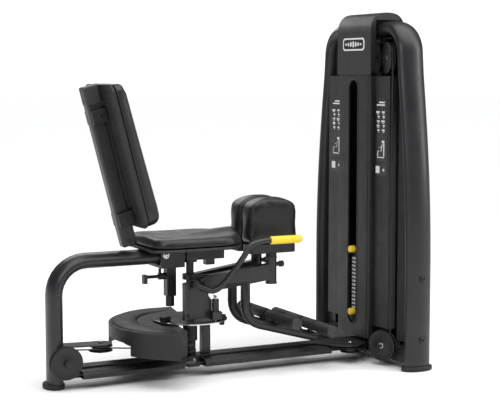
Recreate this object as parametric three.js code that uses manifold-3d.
// Hip abductor machine: a seat frame and a weight tower joined by a floor rail.
// Millimetres, +Z up, +X from the seat towards the tower, +Y to the sitter's left.
// The origin is the centre of the footprint on the floor. Inside the group, X is measured from
// the axis of the rear leg, and ORIGIN_X moves the whole machine onto the origin.
import * as THREE from 'three';
import { mergeVertices } from 'three/addons/utils/BufferGeometryUtils.js';
import Module from 'manifold-3d';

const wasm = await Module();
wasm.setup();

// ---- driving dimensions ----
const GAP = 0.3; // between pieces that touch
const REAR_END = -45;
const TOWER_END = 1524;
const ORIGIN_X = (REAR_END + TOWER_END) / 2;
const SIDES = { right: -1, left: 1 };

const AXIS_X = 585; // the vertical spindle that both arms swing on
const SPINDLE_R = 16;
const RAIL = { half: 32, bottom: 36, top: 80 };
const LANE_Y = -78; // the cable's lane beside the floor rail
const LANE_Z = 58;
const CABLE_R = 3;
const SLACK = 1.2; // between the cable and what it runs round
const DUCT = { near: -95, bottom: 42, top: 72, wall: 3 };

const LEG = { x: 3, thick: 62, wide: 112, top: 496, bend: 130, end: 545 };
const SEAT = { back: 300, frontR: 218, half: 190, panBottom: 528, padBottom: 541, padTop: 580 };
const BACK = { footX: 323, footZ: 528, tilt: 14.6, depth: 62, wide: 50, start: 18, length: 672 };
const BACK_PAD = { low: 85, high: 675, half: 160, shell: 37, pad: 50, thickTop: 40, thickLow: 56 };

const COLUMN = { x: 1451, deep: 120, wide: 62, foot: 372, top: 1418, shoulder: 297, bend: 110 };
const FOOT = { deep: 143, wide: 85, high: 20 };
const COVER = { front: 1358.5, back: 1383, half: 127, bottom: 97, top: 1224, wall: 4 };
const SLOT = { half: 35, bottom: 147, top: 1203 };
const PANEL = { inner: 112, outer: 250, thick: 4, bottom: 156, top: 1220 };
const HOOD = { half: 137.5, wall: 5, apex: 1487, frontTop: 1405, backBottom: 1415,
  sideBack: 1386, sideTop: 1454 };

const STACK = { x: 1438, deep: 120, half: 108, bottom: 188, pitch: 16.6, count: 15, rodY: 75 };
const STACK_TOP = STACK.bottom + STACK.count * STACK.pitch;
const ROD_R = 9.5;
const ROD_TOP = 1206;
const SLOT_AXIS_X = 1468.5; // the cable rises here, above the middle of the stack

const CAM_Z = 150;
const CAM_R = 280;
const DISC = { r: 152, bottom: 226, thick: 6, holeR: 6 };
const HOUSING = { r: 334, top: 222, bottom: 122, wall: 4, from: 80, to: 240 };

const ARM = { tall: 66, wide: 38, rootX: 622, rootY: 45, tipX: 925, tipY: 68, rootZ: 374, tipZ: 412 };
const SLEEVE = { r: 23, bottom: 362, top: 472, bore: 15 };
const PAD = { back: 810, front: 1034, inner: 8, outer: 105, bottom: 528, top: 726, tray: 490 };
const ROLLER = { r: 23.5, inner: 6, outer: 256 };
const FOOT_TUBE_R = 20.5;
const PLUNGER = { x: 645, y: -118 };
const LEVER_PIVOT = new THREE.Vector3(556, -118, 385);
const GRIP = { x: 850, y: -205, z: 559 };

// Pulleys: centre, axle direction (degrees about Z from +X, or null for an upright axle), radii.
const TOP_AZ = 73; // plan direction of the cable's run under the hood
const LOW_AZ = 113; // plan direction of the cable's run at the tower's foot
const along = (azimuth) => {
  const a = THREE.MathUtils.degToRad(azimuth);
  return new THREE.Vector3(Math.cos(a), Math.sin(a), 0);
};
const TOP_R = 60;
const LOW_R = 38;
const LEG_PULLEY_R = 52;
const TOP_Z = 1296;
const topDir = along(TOP_AZ);
const lowDir = along(LOW_AZ);
const stackLine = new THREE.Vector3(SLOT_AXIS_X, 0, TOP_Z);
const centrePulley = stackLine.clone().addScaledVector(topDir, -TOP_R);
const sidePulley = centrePulley.clone().addScaledVector(topDir, -157);
const fall = sidePulley.clone().addScaledVector(topDir, -TOP_R);
const lowPulley = fall.clone().addScaledVector(lowDir, LOW_R).setZ(86);
const flatAim = lowPulley.clone().addScaledVector(lowDir, 140).setZ(LANE_Z);
const flatOut = new THREE.Vector3(lowDir.y, -lowDir.x, 0);
const frontFlat = flatAim.clone().addScaledVector(flatOut, -LOW_R);
frontFlat.y = LANE_Y - LOW_R;
const legPulley = new THREE.Vector3(24, LANE_Y, LANE_Z + LEG_PULLEY_R);
const rearFlat = new THREE.Vector3(180, LANE_Y + LOW_R, CAM_Z);

// ---- materials ----
const metal = (color, roughness, metalness) =>
  new THREE.MeshStandardMaterial({ color, roughness, metalness });
const paint = metal(0x2b2c2f, 0.5, 0.4);
const darkPaint = metal(0x17181a, 0.5, 0.4);
const plastic = metal(0x232427, 0.6, 0);
const rubber = metal(0x121213, 0.85, 0);
const vinyl = metal(0x1b1b1d, 0.55, 0);
const steel = metal(0xb9bbbe, 0.25, 1);
const iron = metal(0x3a3b3d, 0.6, 0.8);
const yellow = metal(0xf2c500, 0.45, 0);

// ---- solids ----
function solid(geometry) {
  const bare = geometry.index ? geometry.toNonIndexed() : geometry.clone();
  bare.deleteAttribute('normal');
  bare.deleteAttribute('uv');
  const merged = mergeVertices(bare, 1e-3);
  const mesh = new wasm.Mesh({
    numProp: 3,
    vertProperties: new Float32Array(merged.attributes.position.array),
    triVerts: new Uint32Array(merged.index.array),
  });
  return new wasm.Manifold(mesh);
}

function surface(manifold) {
  const mesh = manifold.getMesh();
  const geometry = new THREE.BufferGeometry();
  geometry.setAttribute('position', new THREE.Float32BufferAttribute(mesh.vertProperties, 3));
  geometry.setIndex(new THREE.Uint32BufferAttribute(mesh.triVerts, 1));
  geometry.computeVertexNormals();
  return geometry;
}

function weld(...geometries) {
  return surface(geometries.map(solid).reduce((sum, next) => sum.add(next)));
}

function cut(geometry, ...tools) {
  return surface(tools.map(solid).reduce((rest, tool) => rest.subtract(tool), solid(geometry)));
}

function block(x0, x1, y0, y1, z0, z1) {
  const geometry = new THREE.BoxGeometry(x1 - x0, y1 - y0, z1 - z0);
  return geometry.translate((x0 + x1) / 2, (y0 + y1) / 2, (z0 + z1) / 2);
}

// A round bar between two points.
function bar(from, to, radius, sides = 16) {
  const axis = new THREE.Vector3().subVectors(to, from);
  const geometry = new THREE.CylinderGeometry(radius, radius, axis.length(), sides);
  const up = new THREE.Vector3(0, 1, 0);
  geometry.applyQuaternion(new THREE.Quaternion().setFromUnitVectors(up, axis.normalize()));
  const middle = new THREE.Vector3().addVectors(from, to).multiplyScalar(0.5);
  return geometry.translate(middle.x, middle.y, middle.z);
}

const post = (x, y, z0, z1, radius, sides = 16) =>
  bar(new THREE.Vector3(x, y, z0), new THREE.Vector3(x, y, z1), radius, sides);

// An outline in X and Y, made thick along Z.
function slab(shape, z0, z1, curveSegments = 6) {
  const settings = { depth: z1 - z0, bevelEnabled: false, curveSegments };
  return new THREE.ExtrudeGeometry(shape, settings).translate(0, 0, z0);
}

// An outline in X and Z, made thick along Y.
function sideSlab(shape, y0, y1, curveSegments = 6) {
  const settings = { depth: y1 - y0, bevelEnabled: false, curveSegments };
  const geometry = new THREE.ExtrudeGeometry(shape, settings).rotateX(Math.PI / 2);
  return geometry.translate(0, y1, 0);
}

function outline(points) {
  return new THREE.Shape(points.map(([x, y]) => new THREE.Vector2(x, y)));
}

function rounded(x0, x1, y0, y1, radius) {
  const shape = new THREE.Shape();
  shape.moveTo(x0 + radius, y0);
  shape.lineTo(x1 - radius, y0);
  shape.absarc(x1 - radius, y0 + radius, radius, -Math.PI / 2, 0, false);
  shape.lineTo(x1, y1 - radius);
  shape.absarc(x1 - radius, y1 - radius, radius, 0, Math.PI / 2, false);
  shape.lineTo(x0 + radius, y1);
  shape.absarc(x0 + radius, y1 - radius, radius, Math.PI / 2, Math.PI, false);
  shape.lineTo(x0, y0 + radius);
  shape.absarc(x0 + radius, y0 + radius, radius, Math.PI, Math.PI * 1.5, false);
  return shape;
}

function oval(width, height, sides = 20) {
  const points = [];
  for (let i = 0; i < sides; i += 1) {
    const a = (Math.PI * 2 * i) / sides;
    points.push([(Math.cos(a) * width) / 2, (Math.sin(a) * height) / 2]);
  }
  return outline(points);
}

// A path of straight runs and arcs whose steps are counted per piece, not per millimetre.
class Route extends THREE.Curve {
  constructor(points) {
    super();
    this.points = points;
  }

  getUtoTmapping(u) {
    return u;
  }

  getPoint(t, target = new THREE.Vector3()) {
    const place = Math.min(t, 1) * (this.points.length - 1);
    const index = Math.min(Math.floor(place), this.points.length - 2);
    return target.lerpVectors(this.points[index], this.points[index + 1], place - index);
  }
}

function arcPoints(centre, from, towards, radius, angle, steps) {
  const points = [];
  for (let i = 0; i <= steps; i += 1) {
    const a = THREE.MathUtils.degToRad((angle * i) / steps);
    const point = centre.clone().addScaledVector(from, radius * Math.cos(a));
    points.push(point.addScaledVector(towards, radius * Math.sin(a)));
  }
  return points;
}

function tube(points, shape) {
  const route = new Route(points);
  const settings = { steps: points.length - 1, extrudePath: route, bevelEnabled: false };
  return new THREE.ExtrudeGeometry(shape, settings);
}

const X = new THREE.Vector3(1, 0, 0);
const Y = new THREE.Vector3(0, 1, 0);
const Z = new THREE.Vector3(0, 0, 1);
const minus = (v) => v.clone().negate();
const at = (x, y, z) => new THREE.Vector3(x, y, z);

// ---- the seat frame ----
function rearLeg() {
  const turn = at(LEG.x + LEG.bend, 0, LEG.top - LEG.bend);
  const path = [at(LEG.x, 0, FOOT.high + GAP), ...arcPoints(turn, minus(X), Z, LEG.bend, 90, 8),
    at(LEG.end, 0, LEG.top)];
  const leg = tube(path, oval(LEG.wide, LEG.thick));
  const plateTop = CAM_Z + 20;
  const plate = new THREE.Shape();
  plate.moveTo(LEG.x, 30);
  plate.lineTo(rearFlat.x - 20, rearFlat.y + 46);
  plate.absarc(rearFlat.x, rearFlat.y, 46, Math.PI / 2, -Math.PI / 2, true);
  plate.lineTo(LEG.x, -50);
  const carrier = slab(plate, plateTop - 5, plateTop);
  const bolt = post(rearFlat.x, rearFlat.y, CAM_Z - 20, plateTop + 5, 8);
  const axle = bar(at(legPulley.x, -40, legPulley.z), at(legPulley.x, -99, legPulley.z), 8);
  return weld(leg, carrier, bolt, axle);
}

function rearFoot() {
  return slab(oval(FOOT.wide, FOOT.deep - 24), 0, FOOT.high).translate(LEG.x - 5.5, 0, 0);
}

function rearRail() {
  const start = LEG.x + LEG.thick / 2 + GAP;
  const rail = block(start, AXIS_X - 26, -RAIL.half, RAIL.half, RAIL.bottom, RAIL.top);
  const stem = block(430, 470, -20, 20, RAIL.top - 5, HOUSING.bottom - 9);
  const shelf = block(430, 470, -312, 312, HOUSING.bottom - 10, HOUSING.bottom - GAP);
  return weld(rail, stem, shelf);
}

function frontRail() {
  const rail = block(AXIS_X + 26, 1389, -RAIL.half, RAIL.half, RAIL.bottom, RAIL.top);
  const shape = outline([[1140, -20], [1250, -160], [1300, -160], [1375, -105], [1375, -20]]);
  const plate = slab(shape, RAIL.top - 4, RAIL.top);
  const bolt = post(frontFlat.x, frontFlat.y, LANE_Z - 18, RAIL.top + 6, 8);
  return weld(rail, plate, bolt);
}

// A channel beside the rail, open on the rail's side, that hides the cable.
function duct(x0, x1) {
  const top = DUCT.top;
  const near = DUCT.near;
  const outer = outline([[near, DUCT.bottom], [-RAIL.half - GAP, DUCT.bottom],
    [-RAIL.half - GAP, top], [near + 14, top], [near, top - 12]]);
  const inner = outline([[near + DUCT.wall, DUCT.bottom + DUCT.wall], [0, DUCT.bottom + DUCT.wall],
    [0, top - DUCT.wall], [near + 15, top - DUCT.wall], [near + DUCT.wall, top - 14]]);
  const run = (shape, from, to) => {
    const settings = { depth: to - from, bevelEnabled: false };
    const geometry = new THREE.ExtrudeGeometry(shape, settings);
    return geometry.rotateX(Math.PI / 2).rotateZ(Math.PI / 2).translate(from, 0, 0);
  };
  return cut(run(outer, x0, x1), run(inner, x0 - 1, x1 + 1));
}

function mainSpindle() {
  const foot = block(AXIS_X - 25, AXIS_X + 25, -42, RAIL.half, RAIL.bottom - 2, RAIL.top);
  const lower = post(AXIS_X, 0, RAIL.top - 1, CAM_Z - 12, 20);
  const shaft = post(AXIS_X, 0, RAIL.top - 1, LEG.top - 33, SPINDLE_R, 24);
  return weld(foot, lower, shaft);
}

function frontPost() {
  return block(634, 670, -18, 18, RAIL.top + GAP, 214);
}

function seatBracket() {
  const plate = block(LEG.end + GAP, 712, -62, 62, 478, SEAT.panBottom - GAP);
  const socket = post(AXIS_X, 0, 464, 490, 30, 20);
  const well = post(AXIS_X, 0, 400, LEG.top - 33 + GAP, SPINDLE_R + GAP, 24);
  const stub = block(652, 690, -16, 16, 448, 480);
  return weld(cut(weld(plate, socket), well), stub);
}

// A saddle round the leg's end that holds the down tube and its lock lever.
function downTube() {
  const inner = LEG.wide / 2 + 1;
  const outer = inner + 10;
  const under = LEG.top - LEG.thick / 2 - GAP;
  const top = SEAT.panBottom - GAP;
  const base = block(430, 534, -outer, outer, under - 12, under);
  const cheeks = [[-outer, -inner], [inner, outer]].map(([y0, y1]) =>
    block(430, 534, y0, y1, under - 12, top));
  const sleeve = block(476, 516, -20, 20, 330, under - 6);
  return weld(base, ...cheeks, sleeve, post(496, 0, 288, 335, 18));
}

// The seat's plan: square at the back, and rounded at the front about the arms' axis, so that the
// thigh pads swing past it.
function seatShape(back, half, frontR, corner) {
  const turn = Math.SQRT1_2 * frontR;
  const knee = AXIS_X + Math.SQRT2 * frontR - half;
  const shape = new THREE.Shape();
  shape.moveTo(back + corner, -half);
  shape.lineTo(knee - 30, -half);
  shape.quadraticCurveTo(knee, -half, knee + 22, -half + 22);
  shape.lineTo(AXIS_X + turn, -turn);
  shape.absarc(AXIS_X, 0, frontR, -Math.PI / 4, Math.PI / 4, false);
  shape.lineTo(knee + 22, half - 22);
  shape.quadraticCurveTo(knee, half, knee - 30, half);
  shape.lineTo(back + corner, half);
  shape.absarc(back + corner, half - corner, corner, Math.PI / 2, Math.PI, false);
  shape.lineTo(back, -half + corner);
  shape.absarc(back + corner, -half + corner, corner, Math.PI, Math.PI * 1.5, false);
  return shape;
}

function seatPan() {
  const shape = seatShape(SEAT.back + 56, SEAT.half - 5, SEAT.frontR - 5, 68);
  return slab(shape, SEAT.panBottom, SEAT.padBottom - GAP);
}

function seatCushion() {
  const shape = seatShape(SEAT.back + 58, SEAT.half, SEAT.frontR, 70);
  return slab(shape, SEAT.padBottom, SEAT.padTop, 8);
}

// The cam's cover: a round-backed hood with its skirt open where the cable comes in.
function camHousing() {
  const rim = (radius) => {
    const shape = new THREE.Shape();
    const from = THREE.MathUtils.degToRad(HOUSING.from);
    const to = THREE.MathUtils.degToRad(HOUSING.to);
    shape.absarc(0, 0, radius, from, to, false);
    return shape;
  };
  const outer = rim(HOUSING.r);
  outer.lineTo(-107, -215);
  outer.lineTo(-88, -60);
  outer.lineTo(-88, 60);
  outer.lineTo(20, 150);
  const inner = rim(HOUSING.r - HOUSING.wall);
  inner.lineTo(-110, -211);
  inner.lineTo(-60, -60);
  inner.lineTo(-60, 60);
  inner.lineTo(22, 146);
  const cover = slab(outer, HOUSING.bottom, HOUSING.top, 24).translate(AXIS_X, 0, 0);
  const hollow = slab(inner, HOUSING.bottom - 10, HOUSING.top - HOUSING.wall, 24);
  const entry = block(200, 276, -150, 70, HOUSING.bottom - 10, CAM_Z + 20);
  return cut(cover, hollow.translate(AXIS_X, 0, 0), entry);
}

// ---- the backrest, drawn upright and leaned back by its group ----
function backColumn() {
  const half = BACK.depth / 2;
  return block(-half, half, -BACK.wide / 2, BACK.wide / 2, BACK.start, BACK.length);
}

function backBracket(height) {
  const half = BACK.depth / 2;
  const strap = block(-half + 4, BACK_PAD.shell - GAP, -40, 40, height - 28, height + 28);
  const opening = block(-half - 5, half + GAP, -BACK.wide / 2 - GAP, BACK.wide / 2 + GAP,
    height - 40, height + 40);
  return cut(strap, opening);
}

function backPlate(n0, n1, inset, radius) {
  const shape = rounded(-BACK_PAD.half + inset, BACK_PAD.half - inset,
    BACK_PAD.low + inset, BACK_PAD.high - inset, radius);
  const settings = { depth: n1 - n0, bevelEnabled: false, curveSegments: 6 };
  const geometry = new THREE.ExtrudeGeometry(shape, settings);
  return geometry.rotateX(Math.PI / 2).rotateZ(Math.PI / 2).translate(n0, 0, 0);
}

// The cushion is thicker behind the lumbar spine than behind the shoulders.
function backCushion() {
  const front = BACK_PAD.pad + BACK_PAD.thickLow;
  const pad = backPlate(BACK_PAD.pad, front, 0, 48);
  const spare = BACK_PAD.thickLow - BACK_PAD.thickTop;
  const wedge = sideSlab(outline([[front, BACK_PAD.low + 60], [front + 20, BACK_PAD.low],
    [front + 20, BACK_PAD.high + 10], [front - spare, BACK_PAD.high + 10]]), -200, 200);
  return cut(pad, wedge);
}

// ---- the tower ----
function columnPath() {
  const lean = [[372, FOOT.high + GAP], [372, 450], [363, 700], [346, 900], [322, 1100], [303, 1240]];
  const side = lean.map(([y, z]) => at(COLUMN.x, y, z));
  const turn = at(COLUMN.x, COLUMN.shoulder - COLUMN.bend, COLUMN.top - COLUMN.bend);
  const half = [...side, ...arcPoints(turn, Y, Z, COLUMN.bend, 90, 7)];
  const mirrored = half.map((p) => at(p.x, -p.y, p.z)).reverse();
  return [...half, ...mirrored];
}

function towerFoot(side) {
  return slab(oval(FOOT.deep, FOOT.wide), 0, FOOT.high).translate(COLUMN.x, side * COLUMN.foot, 0);
}

function towerBaseBeam() {
  const inner = COLUMN.foot - COLUMN.wide / 2 - GAP;
  const beam = block(1409, 1493, -inner, inner, 25, 85);
  const bridge = block(1389 + GAP, 1412, -60, 60, 25, 85);
  const buffer = block(STACK.x - 35, STACK.x + 35, -100, 100, 80, STACK.bottom - GAP);
  const lowAxle = bar(lowPulley.clone().addScaledVector(flatOut, -19),
    lowPulley.clone().addScaledVector(flatOut, 60), 8);
  return weld(beam, bridge, buffer, lowAxle, block(1405, 1440, -262, -222, 60, 96));
}

function frontCover() {
  const profile = new THREE.Shape();
  const radius = 14;
  profile.moveTo(COVER.back, -COVER.half);
  profile.lineTo(COVER.back, COVER.half);
  profile.lineTo(COVER.front + radius, COVER.half);
  profile.absarc(COVER.front + radius, COVER.half - radius, radius, Math.PI / 2, Math.PI, false);
  profile.lineTo(COVER.front, -COVER.half + radius);
  profile.absarc(COVER.front + radius, -COVER.half + radius, radius, Math.PI, Math.PI * 1.5, false);
  const shell = slab(profile, COVER.bottom, COVER.top, 4);
  const hollow = block(COVER.front + COVER.wall, COVER.back + 5, -COVER.half + COVER.wall + 10,
    COVER.half - COVER.wall - 10, COVER.bottom - 5, COVER.top + 5);
  const slotShape = new THREE.Shape();
  slotShape.absarc(0, SLOT.top - SLOT.half, SLOT.half, 0, Math.PI, false);
  slotShape.absarc(0, SLOT.bottom + SLOT.half, SLOT.half, Math.PI, Math.PI * 2, false);
  const settings = { depth: 40, bevelEnabled: false, curveSegments: 8 };
  const slot = new THREE.ExtrudeGeometry(slotShape, settings);
  slot.rotateX(Math.PI / 2).rotateZ(Math.PI / 2).translate(COVER.front - 20, 0, 0);
  return cut(shell, hollow, slot);
}

function sidePanel(side) {
  const y0 = side * PANEL.inner;
  const y1 = side * PANEL.outer;
  const x0 = COVER.back + GAP;
  const face = block(x0, x0 + PANEL.thick, Math.min(y0, y1), Math.max(y0, y1), PANEL.bottom, PANEL.top);
  const lipY = side * (PANEL.outer - PANEL.thick / 2);
  const lip = block(x0, x0 + 40, lipY - 2, lipY + 2, PANEL.bottom, PANEL.top);
  return weld(face, lip);
}

function rearCover() {
  const face = block(1513.5, 1517.5, -258, 258, 40, 1400);
  const wings = [-1, 1].map((side) => {
    const y = side * 256;
    return block(1425, 1517.5, y - 2, y + 2, 100, 1330);
  });
  return weld(face, ...wings);
}

function hood() {
  const arch = (inset) => {
    const front = COVER.front + inset;
    const back = TOWER_END - inset;
    const top = HOOD.apex - inset;
    const shape = new THREE.Shape();
    shape.moveTo(front, COVER.top + GAP - inset);
    shape.lineTo(front, HOOD.frontTop);
    shape.bezierCurveTo(front, top - 22, front + 34, top, 1440, top);
    shape.bezierCurveTo(1492, top, back, top - 14, back, HOOD.backBottom - inset);
    return shape;
  };
  const outer = arch(0);
  outer.lineTo(COVER.front, COVER.top + GAP);
  const skin = sideSlab(outer, -HOOD.half, HOOD.half, 8);
  const inner = arch(HOOD.wall);
  inner.lineTo(TOWER_END - HOOD.wall, COVER.top - 20);
  inner.lineTo(COVER.front + HOOD.wall, COVER.top - 20);
  const side = HOOD.half - HOOD.wall;
  const hollow = sideSlab(inner, -side, side, 8);
  const tubeWindow = block(HOOD.sideBack, TOWER_END - HOOD.wall - 5, -200, 200, 1100, HOOD.sideTop);
  const behind = block(HOOD.sideBack, TOWER_END + 20, -200, 200, 1100, HOOD.backBottom);
  return cut(skin, hollow, tubeWindow, behind);
}

// A plate between the columns' shoulders that carries the rods and the two top pulleys.
function topBridge() {
  const plate = block(1428, 1492, -200, 200, 1374, 1382);
  const hangers = [centrePulley, sidePulley].map((centre) => {
    const normal = new THREE.Vector3(topDir.y, -topDir.x, 0);
    const axle = bar(centre.clone().addScaledVector(normal, -20),
      centre.clone().addScaledVector(normal, 30), 8);
    const cheek = new THREE.BoxGeometry(6, 24, 96).rotateZ(THREE.MathUtils.degToRad(TOP_AZ - 90));
    const place = centre.clone().addScaledVector(normal, 26);
    return weld(axle, cheek.translate(place.x, place.y, place.z + 34));
  });
  const arm = block(1418, 1440, -206, -190, 1374, 1380);
  const strap = block(1484, 1492, -24, 24, ROD_TOP, 1380);
  const rodBar = block(STACK.x - 16, 1492, -95, 95, ROD_TOP, ROD_TOP + 12);
  const passage = post(SLOT_AXIS_X, 0, ROD_TOP - 5, ROD_TOP + 20, CABLE_R + 4, 10);
  return weld(plate, arm, strap, cut(rodBar, passage), ...hangers);
}

function guideRod(side) {
  return post(STACK.x, side * STACK.rodY, STACK.bottom, ROD_TOP - GAP, ROD_R, 12);
}

// ---- cable and pulleys ----
function driveCable() {
  const down = minus(Z);
  const cam = at(AXIS_X, 0, CAM_Z);
  const lane = at(rearFlat.x, rearFlat.y, CAM_Z);
  const camFrom = along(207);
  const camTowards = along(117);
  const points = [
    stackLine.clone().addScaledVector(Z, GAP),
    ...arcPoints(centrePulley, topDir, Z, TOP_R, 90, 6).slice(1),
    ...arcPoints(sidePulley, Z, minus(topDir), TOP_R, 90, 6),
    ...arcPoints(lowPulley, minus(lowDir), down, LOW_R, 90, 6),
    ...arcPoints(frontFlat, flatOut, Y, LOW_R, 90, 1).slice(0, 1),
    ...[25, 45, 67].map((a) => frontFlat.clone().addScaledVector(along(a), LOW_R)),
    frontFlat.clone().addScaledVector(Y, LOW_R),
    ...arcPoints(legPulley, down, minus(X), LEG_PULLEY_R, 180, 10),
    ...arcPoints(lane, minus(Y), X, LOW_R, 62, 5),
    ...arcPoints(cam, camFrom, camTowards, CAM_R + CABLE_R + SLACK, 38, 5),
  ];
  return tube(points, oval(CABLE_R * 2, CABLE_R * 2, 8));
}

function stackCable() {
  return post(SLOT_AXIS_X, 0, STACK_TOP + 66, TOP_Z - GAP, CABLE_R, 8);
}

// A grooved wheel on an upright axis, then turned to its axle's direction.
function pulley(grooveR, flangeR, thick = 22) {
  const half = thick / 2;
  const root = grooveR - CABLE_R - SLACK;
  const bore = 8.5;
  const profile = [[bore, -half], [flangeR, -half], [flangeR, -half + 3], [root, -half + 5.5],
    [root, half - 5.5], [flangeR, half - 3], [flangeR, half], [bore, half], [bore, -half]];
  const points = profile.map(([r, z]) => new THREE.Vector2(r, z));
  return new THREE.LatheGeometry(points, 24).rotateX(Math.PI / 2);
}

// ---- the swinging parts ----
function camSector() {
  const spread = 72;
  const start = 163;
  const shape = new THREE.Shape();
  const from = THREE.MathUtils.degToRad(start);
  const to = THREE.MathUtils.degToRad(start + spread);
  shape.absarc(0, 0, CAM_R, from, to, false);
  shape.lineTo(0, 0);
  const plate = slab(shape, CAM_Z - 7, CAM_Z + 7, 12).translate(AXIS_X, 0, 0);
  const hub = post(AXIS_X, 0, CAM_Z - 11, DISC.bottom - GAP, 30, 24);
  const window1 = slab(oval(110, 60), CAM_Z - 20, CAM_Z + 20).translate(430, -70, 0);
  return cut(weld(plate, hub), post(AXIS_X, 0, 100, 260, SPINDLE_R + 0.8, 24), window1);
}

function indexDisc() {
  const disc = post(AXIS_X, 0, DISC.bottom, DISC.bottom + DISC.thick, DISC.r, 48);
  const bore = post(AXIS_X, 0, 100, 300, SPINDLE_R + 0.8, 24);
  const holes = [];
  const reach = Math.hypot(PLUNGER.x - AXIS_X, PLUNGER.y);
  const pinAngle = THREE.MathUtils.radToDeg(Math.atan2(PLUNGER.y, PLUNGER.x - AXIS_X));
  for (let i = -3; i <= 6; i += 1) {
    const spot = along(pinAngle + i * 9).multiplyScalar(reach);
    holes.push(post(AXIS_X + spot.x, spot.y, 200, 300, DISC.holeR, 10));
  }
  return cut(disc, bore, ...holes);
}

function cuboidBetween(from, to, wide, tall) {
  const axis = new THREE.Vector3().subVectors(to, from);
  const geometry = new THREE.BoxGeometry(axis.length(), wide, tall);
  geometry.rotateY(-Math.atan2(axis.z, Math.hypot(axis.x, axis.y)));
  geometry.rotateZ(Math.atan2(axis.y, axis.x));
  const middle = new THREE.Vector3().addVectors(from, to).multiplyScalar(0.5);
  return geometry.translate(middle.x, middle.y, middle.z);
}

const rollers = { rear: [948, 216], front: [1115, 172] };

function arm(side, hubZ) {
  const y = (value) => side * value;
  const root = at(ARM.rootX, y(ARM.rootY), ARM.rootZ);
  const tip = at(ARM.tipX, y(ARM.tipY), ARM.tipZ);
  const beam = cuboidBetween(root, tip, ARM.wide, ARM.tall);
  const hub = post(AXIS_X, 0, hubZ, hubZ + 22, 32, 24);
  const earEnd = at(ARM.rootX + 24, y(ARM.rootY), hubZ + 11);
  const ear = cuboidBetween(at(AXIS_X, y(14), hubZ + 11), earEnd, 30, 18);
  const sleeve = post(ARM.tipX, y(ARM.tipY), SLEEVE.bottom, SLEEVE.top, SLEEVE.r, 20);
  const tubeY = y(62);
  const bend = at(898, tubeY, 277);
  const path = [at(808, tubeY, 372), ...arcPoints(bend, minus(X), minus(Z), 90, 73, 6)];
  const last = path[path.length - 1];
  path.push(last.clone().add(at(262, 0, -73.4)));
  const footTube = tube(path, oval(FOOT_TUBE_R * 2, FOOT_TUBE_R * 2, 14));
  const saddles = Object.values(rollers).map(([x, z]) =>
    block(x - 9, x + 9, Math.min(tubeY - 9, tubeY + 9), Math.max(tubeY - 9, tubeY + 9),
      z - 50, z - ROLLER.r - GAP));
  const boss = bar(at(ARM.tipX, y(ARM.tipY), 440), at(ARM.tipX + 38, y(ARM.tipY), 440), 9, 12);
  const pieces = [beam, hub, ear, sleeve, footTube, ...saddles, boss];
  if (side === SIDES.right) {
    pieces.push(...leverMount());
  }
  const bores = [post(AXIS_X, 0, 300, 463, SPINDLE_R + 0.8, 24),
    post(ARM.tipX, y(ARM.tipY), 300, 500, SLEEVE.bore, 16),
    bar(at(ARM.tipX + 5, y(ARM.tipY), 440), at(ARM.tipX + 60, y(ARM.tipY), 440), 5, 10)];
  if (side === SIDES.right) {
    bores.push(post(PLUNGER.x, PLUNGER.y, 200, 360, 7, 12));
    bores.push(bar(LEVER_PIVOT.clone().setY(-90), LEVER_PIVOT.clone().setY(-140), 6.5, 12));
  }
  return cut(weld(...pieces), ...bores);
}

// The plate under the right arm that carries the range lever and its plunger.
function leverMount() {
  const shape = outline([[508, 244], [634, 244], [634, 318], [574, 400], [540, 404], [508, 390]]);
  const plate = sideSlab(shape, -106, -98);
  const flange = block(508, 514, -124, -105, 244, 390);
  const holder = block(624, 666, -140, -98, 240, 272);
  const barrel = post(PLUNGER.x, PLUNGER.y, 270, 322, 15, 14);
  const web = block(600, 624, -99, -44, 330, 372);
  return [plate, flange, holder, barrel, web];
}

function padBase(side) {
  const y = (value) => side * value;
  const centre = (side * (PAD.inner + PAD.outer)) / 2;
  const halfDeep = (PAD.outer - PAD.inner) / 2 - 6;
  const shape = rounded(PAD.back + 6, PAD.front - 6, centre - halfDeep, centre + halfDeep, 18);
  const tray = slab(shape, PAD.tray, PAD.bottom - GAP, 4);
  const stem = post(ARM.tipX, y(ARM.tipY), SLEEVE.bottom + 2, PAD.tray + 3, SLEEVE.bore - 0.6, 16);
  const collar = post(ARM.tipX, y(ARM.tipY), SLEEVE.top + GAP, PAD.tray + 3, SLEEVE.r, 20);
  return weld(tray, stem, collar);
}

function thighPad(side) {
  const middle = (PAD.back + PAD.front) / 2;
  const half = (PAD.front - PAD.back) / 2;
  const shape = new THREE.Shape();
  shape.moveTo(middle - half + 16, PAD.bottom);
  shape.lineTo(middle + half - 16, PAD.bottom);
  shape.quadraticCurveTo(middle + half, PAD.bottom, middle + half, PAD.bottom + 16);
  shape.lineTo(middle + half, PAD.top - 50);
  shape.bezierCurveTo(middle + half, PAD.top - 14, middle + 60, PAD.top, middle, PAD.top);
  shape.bezierCurveTo(middle - 60, PAD.top, middle - half, PAD.top - 14, middle - half, PAD.top - 50);
  shape.lineTo(middle - half, PAD.bottom + 16);
  shape.quadraticCurveTo(middle - half, PAD.bottom, middle - half + 16, PAD.bottom);
  const ends = [side * PAD.inner, side * PAD.outer].sort((a, b) => a - b);
  return sideSlab(shape, ends[0], ends[1], 5);
}

function roller(side, [x, z]) {
  return bar(at(x, side * ROLLER.inner, z), at(x, side * ROLLER.outer, z), ROLLER.r, 20);
}

function pullKnob(side) {
  const y = side * ARM.tipY;
  const rod = bar(at(ARM.tipX + 24, y, 440), at(ARM.tipX + 44, y, 440), 4, 10);
  const knob = bar(at(ARM.tipX + 38 + GAP, y, 440), at(ARM.tipX + 56, y, 440), 13, 16);
  return weld(rod, knob);
}

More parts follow.
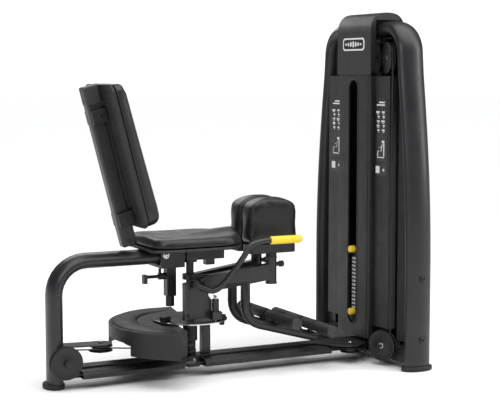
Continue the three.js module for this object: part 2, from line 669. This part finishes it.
function rangeLever() {
  const out = LEVER_PIVOT;
  const path = new THREE.CatmullRomCurve3([at(out.x + 8, -121, out.z - 2), at(592, -126, 370),
    at(628, -140, 360), at(668, -156, 392), at(722, -194, 480), at(762, -202, 538),
    at(812, -204, 557), at(GRIP.x + 8, GRIP.y, GRIP.z)], false, 'catmullrom', 0.6);
  const rod = tube(path.getPoints(18), oval(24, 24, 12));
  const eye = bar(at(out.x, -109, out.z), at(out.x, -131, out.z), 15, 16);
  const pivot = bar(at(out.x, -92, out.z), at(out.x, -112, out.z), 6, 12);
  const end = bar(at(GRIP.x - 2, GRIP.y, GRIP.z), at(GRIP.x + 38, GRIP.y, GRIP.z), 22, 12);
  const core = bar(at(GRIP.x - 10, GRIP.y, GRIP.z), at(GRIP.x + 128, GRIP.y, GRIP.z), 7, 12);
  return weld(cut(weld(rod, eye), end), core, pivot);
}

function leverGrip() {
  const profile = [[7.3, 0], [15, 0], [16.5, 4], [16.5, 126], [13, 142], [0, 147], [0, 134],
    [7.3, 134], [7.3, 0]];
  const points = profile.map(([r, z]) => new THREE.Vector2(r, z));
  const geometry = new THREE.LatheGeometry(points, 20).rotateZ(-Math.PI / 2);
  return geometry.translate(GRIP.x, GRIP.y, GRIP.z);
}

function rangePlunger() {
  return post(PLUNGER.x, PLUNGER.y, DISC.bottom + 1, 338, 5.2, 12);
}

function lockLever() {
  const boss = bar(at(446, 0, 412), at(475.5, 0, 412), 14, 14);
  const stem = bar(at(392, 0, 412), at(448, 0, 412), 7, 12);
  const paddle = block(378, 394, -12, 12, 386, 422);
  const tip = bar(at(452, 0, 412), at(452, 0, 444), 6, 10);
  return weld(boss, stem, paddle, tip);
}

// ---- the weight stack ----
function weightPlates() {
  const notch = 4;
  const right = [];
  const left = [];
  for (let i = 0; i < STACK.count; i += 1) {
    const low = STACK.bottom + i * STACK.pitch;
    const high = low + STACK.pitch - 1.6;
    right.push([STACK.half, low], [STACK.half, high], [STACK.half - notch, high]);
    left.push([-STACK.half, low], [-STACK.half, high], [-STACK.half + notch, high]);
    if (i < STACK.count - 1) {
      right.push([STACK.half - notch, low + STACK.pitch]);
      left.push([-STACK.half + notch, low + STACK.pitch]);
    }
  }
  const shape = outline([...right, ...left.reverse()]);
  const settings = { depth: STACK.deep, bevelEnabled: false };
  const body = new THREE.ExtrudeGeometry(shape, settings);
  body.rotateX(Math.PI / 2).rotateZ(Math.PI / 2).translate(STACK.x - STACK.deep / 2, 0, 0);
  const front = STACK.x - STACK.deep / 2;
  const pinHole = bar(at(front - 5, 0, 196.5), at(front + 60, 0, 196.5), 5.6, 12);
  return cut(body, ...rodBores(), pinHole);
}

const rodBores = () => Object.values(SIDES).map((side) =>
  post(STACK.x, side * STACK.rodY, 100, 700, ROD_R + 1, 12));

function topPlate() {
  const low = STACK_TOP + GAP;
  const front = STACK.x - STACK.deep / 2;
  const plate = block(front, front + STACK.deep, -STACK.half, STACK.half, low, low + 44);
  const hook = post(SLOT_AXIS_X, 0, low + 40, STACK_TOP + 66 - GAP, 14, 14);
  const hole = bar(at(front - 5, 0, 471), at(front + 30, 0, 471), 5.6, 12);
  return cut(weld(plate, hook), ...rodBores(), hole);
}

function frontKnob(z, pinDepth) {
  const front = STACK.x - STACK.deep / 2;
  const pin = bar(at(front - 10, 0, z), at(front + pinDepth, 0, z), 5, 12);
  const head = bar(at(front - 34, 0, z), at(front - 8, 0, z), 15, 18);
  return weld(pin, head);
}

// ---- assembly ----
const machine = new THREE.Group();
machine.position.x = -ORIGIN_X;

const backrest = new THREE.Group();
backrest.position.set(BACK.footX, 0, BACK.footZ);
backrest.rotation.y = -THREE.MathUtils.degToRad(BACK.tilt);
machine.add(backrest);

function add(name, geometry, material, parent = machine) {
  const mesh = new THREE.Mesh(geometry, material);
  mesh.name = name;
  parent.add(mesh);
  return mesh;
}

// Lays a pulley's axis level, square to the plan direction of its cable.
function addPulley(name, geometry, centre, azimuth) {
  const mesh = add(name, geometry, plastic);
  mesh.position.copy(centre);
  if (azimuth !== null) {
    mesh.rotation.set(Math.PI / 2, 0, THREE.MathUtils.degToRad(azimuth), 'ZYX');
  }
}

add('rear_leg', rearLeg(), paint);
add('rear_foot', rearFoot(), rubber);
add('rear_rail', rearRail(), paint);
add('front_rail', frontRail(), paint);
add('rear_duct', duct(88, 520), darkPaint);
add('front_duct', duct(612, 1205), darkPaint);
add('main_spindle', mainSpindle(), darkPaint);
add('front_post', frontPost(), paint);
add('seat_bracket', seatBracket(), darkPaint);
add('down_tube', downTube(), darkPaint);
add('seat_pan', seatPan(), plastic);
add('seat_cushion', seatCushion(), vinyl);
add('cam_housing', camHousing(), plastic);

add('back_column', backColumn(), paint, backrest);
add('upper_back_bracket', backBracket(552), plastic, backrest);
add('lower_back_bracket', backBracket(132), plastic, backrest);
add('back_shell', backPlate(BACK_PAD.shell, BACK_PAD.pad - GAP, 3, 45), plastic, backrest);
add('back_cushion', backCushion(), vinyl, backrest);

add('tower_frame', tube(columnPath(), oval(COLUMN.wide, COLUMN.deep)), paint);
add('tower_base_beam', towerBaseBeam(), darkPaint);
add('front_cover', frontCover(), plastic);
add('rear_cover', rearCover(), plastic);
add('tower_hood', hood(), plastic);
add('top_bridge', topBridge(), darkPaint);
add('drive_cable', driveCable(), rubber);
add('stack_cable', stackCable(), rubber);

addPulley('top_centre_pulley', pulley(TOP_R, 66), centrePulley, TOP_AZ);
addPulley('top_side_pulley', pulley(TOP_R, 66), sidePulley, TOP_AZ);
addPulley('bottom_side_pulley', pulley(LOW_R, 66), lowPulley, LOW_AZ);
addPulley('rear_leg_pulley', pulley(LEG_PULLEY_R, 66), legPulley, 0);
addPulley('front_flat_pulley', pulley(LOW_R, 44), frontFlat, null);
addPulley('rear_flat_pulley', pulley(LOW_R, 48), rearFlat, null);

add('cam_sector', camSector(), iron);
add('index_disc', indexDisc(), steel);
add('range_lever', rangeLever(), paint);
add('lever_grip', leverGrip(), yellow);
add('range_plunger', rangePlunger(), steel);
add('lock_lever', lockLever(), darkPaint);
add('weight_plates', weightPlates(), iron);
add('top_plate', topPlate(), iron);
add('selector_pin', frontKnob(196.5, 50), yellow);
add('increment_knob', frontKnob(471, 20), yellow);

for (const [name, side] of Object.entries(SIDES)) {
  add(`tower_foot_${name}`, towerFoot(side), rubber);
  add(`side_panel_${name}`, sidePanel(side), plastic);
  add(`guide_rod_${name}`, guideRod(side), steel);
  add(`${name}_arm`, arm(side, side === SIDES.right ? 392 : 352), paint);
  add(`${name}_pad_base`, padBase(side), plastic);
  add(`${name}_thigh_pad`, thighPad(side), vinyl);
  add(`${name}_pull_knob`, pullKnob(side), darkPaint);
  for (const [place, spot] of Object.entries(rollers)) {
    add(`${name}_${place}_roller`, roller(side, spot), rubber);
  }
}

export default machine;
